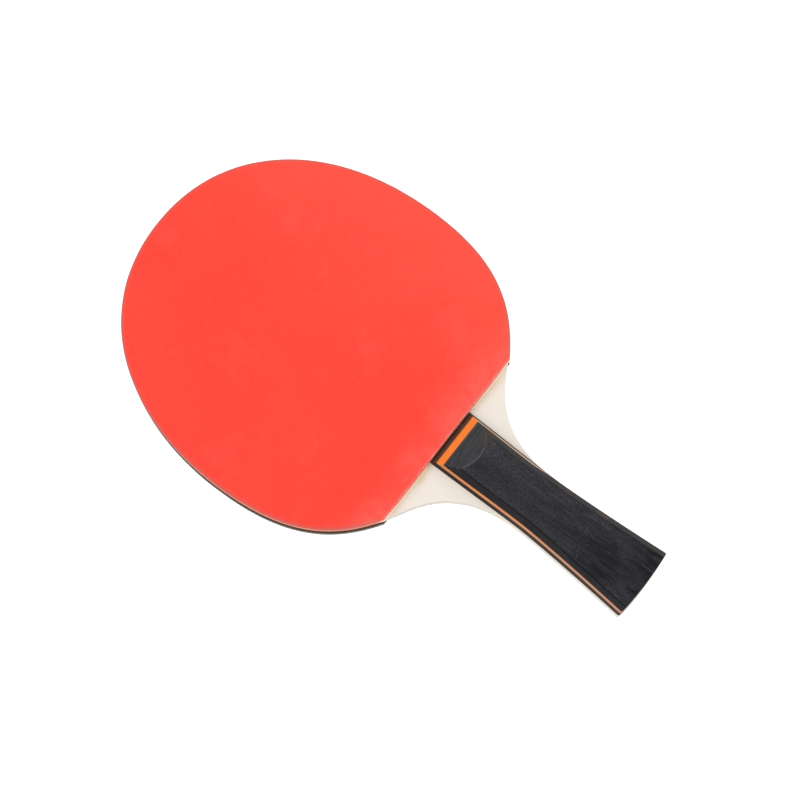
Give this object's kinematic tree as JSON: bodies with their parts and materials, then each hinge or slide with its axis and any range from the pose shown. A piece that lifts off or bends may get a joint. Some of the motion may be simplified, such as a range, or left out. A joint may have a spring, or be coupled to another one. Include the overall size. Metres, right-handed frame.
{
  "type": "table tennis paddle",
  "caption": "Table tennis paddle with a laminated wooden blade, a rubber covering on sponge on each face, tape round the rim and a flared grip with a bevelled front.",
  "frame": {"origin": "middle of the bounding box, in the middle ply of the blade", "axes": "+Y along the paddle from the grip to the tip of the head, +Z out of the red playing face, +X to the right with the red face towards the viewer and the grip down"},
  "size_m": [0.15, 0.2584, 0.0234],
  "materials": {
    "core_wood": "bare light wood",
    "cross_wood": "bare wood, darker than the faces",
    "face_wood": "pale wood, thinly sealed",
    "cream_sponge": "matt foam",
    "red_rubber": "smooth, slightly worn sheen",
    "charcoal_sponge": "matt foam",
    "black_rubber": "smooth, slightly worn sheen",
    "tape": "satin woven tape",
    "dark_veneer": "dark brown stain, satin",
    "orange_veneer": "orange dye, satin",
    "black_wood": "black stain over fine grain, satin"
  },
  "bodies": {
    "root": {"blade_core_ply": "core_wood", "blade_cross_ply_front": "cross_wood", "blade_cross_ply_back": "cross_wood", "blade_face_ply_front": "face_wood", "blade_face_ply_back": "face_wood", "front_sponge": "cream_sponge", "front_top_sheet": "red_rubber", "back_sponge": "charcoal_sponge", "back_top_sheet": "black_rubber", "edge_tape": "tape", "grip_base_veneer_front": "dark_veneer", "grip_base_veneer_back": "dark_veneer", "grip_stripe_veneer_front": "orange_veneer", "grip_stripe_veneer_back": "orange_veneer", "grip_block_front": "black_wood", "grip_block_back": "black_wood"}
  },
  "joints": []
}
